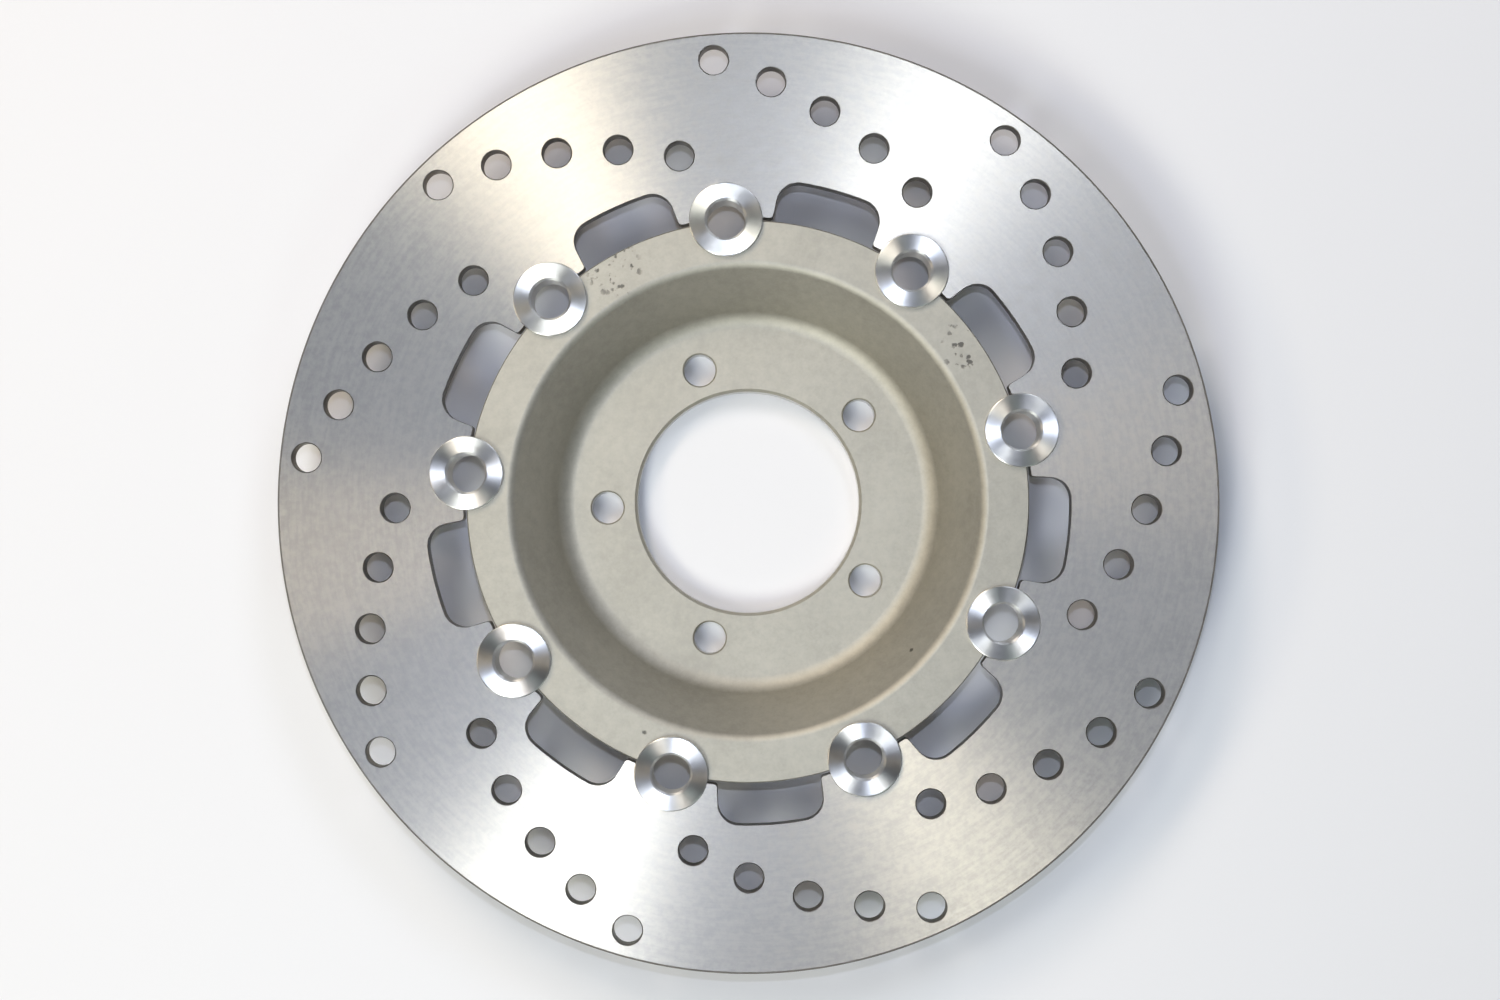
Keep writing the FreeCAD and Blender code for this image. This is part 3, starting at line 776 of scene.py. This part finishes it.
class BRAKE_OT_ring(bpy.types.Operator):
    """Model the brake ring: a ground disc with windows, notches and rows of vents cut through it"""

    bl_idname = "brake_disc.ring"
    bl_label = "Brake Ring"

    def execute(self, context):
        sizes = context.scene.brake_ring_sizes
        finishes = context.scene.brake_finishes
        low = RING_LOW.z
        high = RING_HIGH.z
        outer = min(RING_HIGH.x, RING_HIGH.y, -RING_LOW.x, -RING_LOW.y)
        ring = cylinder("ring_ground", outer, low, high, steps=720)
        heights = [round(vertex.co.z, 6) for vertex in ring.data.vertices]
        pick(ring, "EDGE", lambda edge: len({heights[index] for index in edge.vertices}) == 1)
        bpy.ops.mesh.bevel(offset=sizes.edge_chamfer, offset_type="OFFSET", segments=1)
        bpy.ops.object.mode_set(mode="OBJECT")

        opening = draw_ring_opening(sizes)
        raise_prism(opening, low - REACH, high + REACH)
        place_piece(opening, CENTRE, FIRST_BUTTON + BUTTON_STEP / 2)
        boolean(ring, opening, "DIFFERENCE")
        break_edges(ring, sizes.edge_break)
        drill = make_vent_drill(sizes)
        place_piece(drill, CENTRE, FIRST_BUTTON)
        boolean(ring, drill, "DIFFERENCE")
        smooth(ring)

        middle = (low + high) / 2
        reach = (high - low) / 2 - WELD
        paint(
            ring,
            ground_steel(finishes.ring),
            cut_steel(finishes.cut),
            lambda face: abs(face.center.z - middle) < reach,
        )
        hand_over(ring, "ring", "ring_steel", "brake_ring")
        return {"FINISHED"}


def carrier_corners(sizes):
    """Half section of the carrier from the bore's back end outwards, and the corners that are rounded."""
    front = CARRIER_HIGH.z
    rim_back = front - sizes.rim_thickness
    slope = (sizes.mouth_radius - sizes.floor_radius) / (front - sizes.floor_thickness)
    foot = (sizes.floor_radius + sizes.wall_width - sizes.floor_thickness * slope, 0.0)
    shoulder = (sizes.mouth_radius + sizes.wall_width - sizes.rim_thickness * slope, rim_back)
    mouth = (sizes.mouth_radius, front)
    floor = (sizes.floor_radius, sizes.floor_thickness)
    bore = sizes.bore_radius
    chamfer = sizes.bore_chamfer
    rim = sizes.rim_radius
    broken = sizes.rim_break
    corners = [
        (bore + chamfer, 0.0),
        foot,
        shoulder,
        (rim - broken, rim_back),
        (rim, rim_back + broken),
        (rim, front - broken),
        (rim - broken, front),
        mouth,
        floor,
        (bore + chamfer, sizes.floor_thickness),
        (bore, sizes.floor_thickness - chamfer),
        (bore, chamfer),
    ]
    rounds = [
        (foot, sizes.pad_round),
        (shoulder, sizes.back_fillet),
        (mouth, sizes.mouth_round),
        (floor, sizes.floor_fillet),
    ]
    return corners, rounds


def is_machined(face, sizes):
    """True for the faces that a tool has cut: hub face, bore, bolt holes, rim back, rim edge and notches."""
    radius = math.hypot(face.center.x, face.center.y)
    upright = abs(face.normal.z) < 0.5
    hub_face = face.center.z < WELD
    rim_back = face.normal.z < -0.9 and radius > sizes.mouth_radius
    in_holes = radius < sizes.floor_radius - sizes.floor_fillet
    at_rim = radius > sizes.rim_radius - 8 * MM
    return hub_face or rim_back or (upright and (in_holes or at_rim))


class BRAKE_OT_carrier(bpy.types.Operator):
    """Model the carrier: a dished casting with notches round its rim and bolt holes in its floor"""

    bl_idname = "brake_disc.carrier"
    bl_label = "Carrier"

    def execute(self, context):
        sizes = context.scene.brake_carrier_sizes
        notch_radius = context.scene.brake_ring_sizes.notch_radius
        finishes = context.scene.brake_finishes
        corners, rounds = carrier_corners(sizes)
        carrier = turned("carrier_dish", corners, 360, rounds)

        front = CARRIER_HIGH.z
        notches = cylinder("NotchCutter", notch_radius, 0.5 * front, front + REACH, BUTTON_AXES[0])
        repeat_round(notches, BUTTON_COUNT)
        boolean(carrier, notches, "DIFFERENCE")

        floor = sizes.floor_thickness
        bolt = sizes.bolt_radius
        wide = bolt + sizes.bolt_chamfer + REACH
        drill_corners = [
            (0.0, -REACH),
            (bolt, -REACH),
            (bolt, floor - sizes.bolt_chamfer),
            (wide, floor + REACH),
            (0.0, floor + REACH),
        ]
        drill = turned("BoltDrill", drill_corners, 64)
        place_piece(drill, polar(sizes.bolt_circle, sizes.first_bolt))
        repeat_round(drill, sizes.bolts)
        boolean(carrier, drill, "DIFFERENCE")
        break_edges(carrier, sizes.edge_break)
        smooth(carrier)

        paint(
            carrier,
            casting_skin(finishes.casting, finishes.pits),
            machined_aluminium(finishes.machined),
            lambda face: is_machined(face, sizes),
        )
        hand_over(carrier, "carrier", "carrier_casting", "carrier")
        return {"FINISHED"}


class BRAKE_OT_buttons(bpy.types.Operator):
    """Model one drive button and copy it to every pair of notches"""

    bl_idname = "brake_disc.buttons"
    bl_label = "Drive Buttons"

    def execute(self, context):
        sizes = context.scene.brake_button_sizes
        finishes = context.scene.brake_finishes
        back = BUTTON_LOW.z
        crown = BUTTON_HIGH.z
        bore = sizes.bore_radius
        shank = sizes.shank_radius
        seat = RING_HIGH.z
        groove_floor = shank - sizes.groove_depth
        rim_corner = (sizes.flange_radius, crown)
        seat_corner = (sizes.flange_radius, seat)
        corners = [
            (bore, back),
            (shank - sizes.shank_chamfer, back),
            (shank, back + sizes.shank_chamfer),
            (shank, CLIP_LOW.z),
            (groove_floor, CLIP_LOW.z),
            (groove_floor, WASHER_LOW.z),
            (shank, WASHER_LOW.z),
            (shank, seat),
            seat_corner,
            rim_corner,
            (bore + sizes.bore_chamfer, crown),
            (bore, crown - sizes.bore_chamfer),
        ]
        rounds = [(rim_corner, sizes.flange_round), (seat_corner, sizes.flange_round / 2)]
        pattern = turned("ButtonPattern", corners, 96, rounds)
        smooth(pattern)
        for index, piece in enumerate(copy_to_buttons(pattern, "button_turned"), start=1):
            paint(piece, turned_steel(finishes.button, index, BUTTON_AXES[index - 1]))
            hand_over(piece, f"button_{index}", "button_steel", f"drive_button_{index}")
        return {"FINISHED"}


class BRAKE_OT_washers(bpy.types.Operator):
    """Model a stamped flat washer and a wave washer, and copy them to every drive button"""

    bl_idname = "brake_disc.washers"
    bl_label = "Washers"

    def execute(self, context):
        sizes = context.scene.brake_button_sizes
        finishes = context.scene.brake_finishes
        self.make_flat_washers(sizes, finishes)
        self.make_wave_washers(sizes, finishes)
        return {"FINISHED"}

    def make_flat_washers(self, sizes, finishes):
        low = WASHER_LOW.z
        high = WASHER_HIGH.z
        corners = [
            (sizes.washer_hole, low),
            (sizes.washer_radius, low),
            (sizes.washer_radius, high),
            (sizes.washer_hole, high),
        ]
        rounds = [(corner, sizes.washer_round) for corner in corners[:2]]
        pattern = turned("WasherPattern", corners, 96, rounds)
        smooth(pattern)
        plate = plated_steel("washer_zinc_plate", finishes.plate, 0.32, 700.0)
        for index, piece in enumerate(copy_to_buttons(pattern, "washer_stamped"), start=1):
            paint(piece, plate)
            hand_over(piece, f"button_{index}", "washer_steel", f"flat_washer_{index}")

    def make_wave_washers(self, sizes, finishes):
        middle = (WAVE_LOW.z + WAVE_HIGH.z) / 2
        half_strip = sizes.strip / 2
        swing = (WAVE_HIGH.z - WAVE_LOW.z) / 2 - half_strip
        corners = [
            (sizes.washer_hole, middle - half_strip),
            (sizes.washer_radius, middle - half_strip),
            (sizes.washer_radius, middle + half_strip),
            (sizes.washer_hole, middle + half_strip),
        ]
        steps = 96
        pattern = turned("WavePattern", corners, steps, [(corner, half_strip / 3) for corner in corners])
        for step in range(steps):
            azimuth = FULL_TURN * step / steps
            heading = polar(1.0, azimuth)
            pick(pattern, "VERT", lambda vertex: vertex.co.to_2d().angle(heading.to_2d()) < 0.01)
            bpy.ops.transform.translate(value=(0.0, 0.0, swing * math.cos(sizes.waves * azimuth)))
            bpy.ops.object.mode_set(mode="OBJECT")
        smooth(pattern)
        spring = plated_steel("spring_steel_strip", finishes.spring, 0.30, 500.0)
        seat = WASHER_HIGH.z
        travel = next(joint for joint in frame["joints"] if joint["name"] == FLOAT_JOINT)["range_m"][0]
        flattened = (RING_LOW.z + travel - WAVE_SPARE - seat) / (WAVE_HIGH.z - seat)
        for index, piece in enumerate(copy_to_buttons(pattern, "wave_spring"), start=1):
            paint(piece, spring)
            hand_over(piece, f"button_{index}", "spring_steel", f"wave_washer_{index}")
            axis = BUTTON_AXES[index - 1]
            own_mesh(piece)


class BRAKE_OT_clips(bpy.types.Operator):
    """Model a retaining clip with its two eared ends, and copy it to every drive button"""

    bl_idname = "brake_disc.clips"
    bl_label = "Retaining Clips"

    def execute(self, context):
        sizes = context.scene.brake_button_sizes
        finishes = context.scene.brake_finishes
        low = CLIP_LOW.z
        high = CLIP_HIGH.z
        corners = [
            (sizes.clip_hole, low),
            (sizes.clip_radius, low),
            (sizes.clip_radius, high),
            (sizes.clip_hole, high),
        ]
        pattern = turned("ClipPattern", corners, 96)
        sides = (sizes.ear_spread, -sizes.ear_spread)
        for side in sides:
            place = Vector((sizes.ear_reach, side, 0.0))
            boolean(pattern, cylinder("Ear", sizes.ear_radius, low, high, place, 48), "UNION")
        reach = sizes.clip_radius + sizes.clip_gap
        gap = cylinder("Gap", sizes.clip_gap / math.sqrt(2), low - REACH, high + REACH, steps=4)
        place_piece(gap, CENTRE, math.pi / 4)
        pick(gap, "VERT", lambda vertex: vertex.co.x > 0)
        bpy.ops.transform.translate(value=(reach, 0.0, 0.0))
        pick(gap, "VERT", lambda vertex: vertex.co.x < 0)
        bpy.ops.transform.translate(value=(sizes.clip_hole / 2, 0.0, 0.0))
        bpy.ops.object.mode_set(mode="OBJECT")
        boolean(pattern, gap, "DIFFERENCE")
        for side in sides:
            place = Vector((sizes.ear_reach, side, 0.0))
            hole = cylinder("EarHole", sizes.ear_hole, low - REACH, high + REACH, place, 32)
            boolean(pattern, hole, "DIFFERENCE")
        break_edges(pattern, sizes.clip_break, 50.0)
        smooth(pattern)
        black = plated_steel("clip_blackened_steel", finishes.clip, 0.38, 600.0)
        for index, piece in enumerate(copy_to_buttons(pattern, "clip_spring"), start=1):
            paint(piece, black)
            hand_over(piece, f"button_{index}", "clip_steel", f"retaining_clip_{index}")
        return {"FINISHED"}


def aim(thing, target):
    """Turns a light or camera towards a point, with +Y upwards in its view."""
    backwards = (thing.location - Vector(target)).normalized()
    right = VIEW_UP.cross(backwards).normalized()
    up = backwards.cross(right)
    thing.rotation_euler = Matrix((right, up, backwards)).transposed().to_euler()


def add_softbox(name, azimuth_degrees, elevation_degrees, width, height, watts, tint):
    """A rectangular light that faces the disc."""
    elevation = math.radians(elevation_degrees)
    reach = SOFTBOX_DISTANCE * math.cos(elevation)
    height_above = SOFTBOX_DISTANCE * math.sin(elevation)
    position = polar(reach, math.radians(azimuth_degrees), height_above)
    bpy.ops.object.light_add(type="AREA", location=position)
    light = bpy.context.object
    light.name = name
    light.data.shape = "RECTANGLE"
    light.data.size = width
    light.data.size_y = height
    light.data.energy = watts
    light.data.color = tint
    aim(light, (0.0, 0.0, RING_HIGH.z))


def make_room(ceiling, walls):
    """A room whose walls are brighter than its ceiling."""
    room = bpy.data.worlds.new("room")
    room.use_nodes = True
    tree = room.node_tree
    background = tree.nodes["Background"]
    background.inputs["Color"].default_value = (0.86, 0.90, 1.0, 1.0)
    direction = tree.nodes.new("ShaderNodeTexCoord")
    parts = tree.nodes.new("ShaderNodeSeparateXYZ")
    fade = tree.nodes.new("ShaderNodeMapRange")
    for socket, value in {"From Min": 0.30, "From Max": 0.55, "To Min": walls, "To Max": ceiling}.items():
        fade.inputs[socket].default_value = value
    tree.links.new(direction.outputs["Generated"], parts.inputs["Vector"])
    tree.links.new(parts.outputs["Z"], fade.inputs["Value"])
    tree.links.new(fade.outputs["Result"], background.inputs["Strength"])
    return room


class BRAKE_OT_studio(bpy.types.Operator):
    """Lay the pale table, and set up the lights and the camera over the disc"""

    bl_idname = "brake_disc.studio"
    bl_label = "Table, Lights and Camera"

    def execute(self, context):
        studio = context.scene.brake_studio
        deselect_objects()
        bpy.ops.mesh.primitive_plane_add(size=6.0, location=(0.0, 0.0, CARRIER_LOW.z))
        table = context.object
        table.name = "table"
        bpy.ops.object.transform_apply(location=True, rotation=False, scale=False)
        paint(table, table_top(context.scene.brake_finishes.table))

        add_softbox("white_window", 242.0, 48.0, 0.36, 0.42, studio.white_key, (0.98, 1.0, 0.90))
        add_softbox("white_skylight", 242.0, 64.0, 0.24, 0.36, studio.white_high, (0.74, 0.81, 1.0))
        add_softbox("white_return", 62.0, 48.0, 0.36, 0.40, studio.white_far, (0.79, 0.85, 1.0))
        add_softbox("warm_window", 120.0, 46.0, 0.31, 0.48, studio.warm_key, (1.0, 0.86, 0.72))
        add_softbox("warm_skylight", 120.0, 64.0, 0.22, 0.36, studio.warm_high, (0.98, 1.0, 0.91))
        add_softbox("warm_return", 301.0, 48.0, 0.30, 0.40, studio.warm_far, (0.80, 1.0, 0.92))
        add_softbox("side_glow", 186.0, 42.0, 0.22, 0.40, studio.side_glow, (1.0, 0.83, 0.56))

        above_lens = Vector(studio.camera) + VIEW_UP * FLASH_RISE
        bpy.ops.object.light_add(type="POINT", location=above_lens)
        flash = context.object
        flash.name = "flash"
        flash.data.energy = studio.flash
        flash.data.color = (0.72, 0.80, 1.0)
        flash.data.shadow_soft_size = 3 * MM

        context.scene.world = make_room(studio.ambient, studio.horizon)
        context.scene.view_settings.view_transform = "Standard"

        bpy.ops.object.camera_add(location=studio.camera)
        camera = context.object
        camera.data.lens = studio.lens
        camera.data.clip_start = 0.01
        aim(camera, studio.target)
        context.scene.camera = camera
        return {"FINISHED"}


class BRAKE_PT_panel(bpy.types.Panel):
    """Builds the disc piece by piece"""

    bl_idname = "BRAKE_PT_panel"
    bl_label = "Floating Brake Disc"
    bl_space_type = "VIEW_3D"
    bl_region_type = "UI"
    bl_category = "Brake Disc"

    def draw(self, context):
        layout = self.layout
        for operator in OPERATORS:
            layout.operator(operator.bl_idname)
        for name in GROUPS:
            box = layout.box()
            settings = getattr(context.scene, name)
            box.label(text=settings.bl_rna.description)
            for key in settings.bl_rna.properties.keys():
                if key not in ("rna_type", "name"):
                    box.prop(settings, key)


GROUPS = {
    "brake_ring_sizes": BrakeRingSizes,
    "brake_carrier_sizes": BrakeCarrierSizes,
    "brake_button_sizes": BrakeButtonSizes,
    "brake_finishes": BrakeFinishes,
    "brake_studio": BrakeStudio,
}
OPERATORS = (
    BRAKE_OT_ring,
    BRAKE_OT_carrier,
    BRAKE_OT_buttons,
    BRAKE_OT_washers,
    BRAKE_OT_clips,
    BRAKE_OT_studio,
)


def register():
    for name, group in GROUPS.items():
        bpy.utils.register_class(group)
        setattr(bpy.types.Scene, name, bpy.props.PointerProperty(type=group))
    for operator in OPERATORS:
        bpy.utils.register_class(operator)
    bpy.utils.register_class(BRAKE_PT_panel)


def unregister():
    bpy.utils.unregister_class(BRAKE_PT_panel)
    for operator in reversed(OPERATORS):
        bpy.utils.unregister_class(operator)
    for name, group in reversed(GROUPS.items()):
        delattr(bpy.types.Scene, name)
        bpy.utils.unregister_class(group)


def write_sizes():
    """Brings the scene's placements up to date."""
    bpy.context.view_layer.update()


def main():
    register()
    bpy.ops.brake_disc.ring()
    bpy.ops.brake_disc.carrier()
    bpy.ops.brake_disc.buttons()
    bpy.ops.brake_disc.washers()
    bpy.ops.brake_disc.clips()
    bpy.ops.brake_disc.studio()
    write_sizes()


if __name__ == "__main__":
    main()
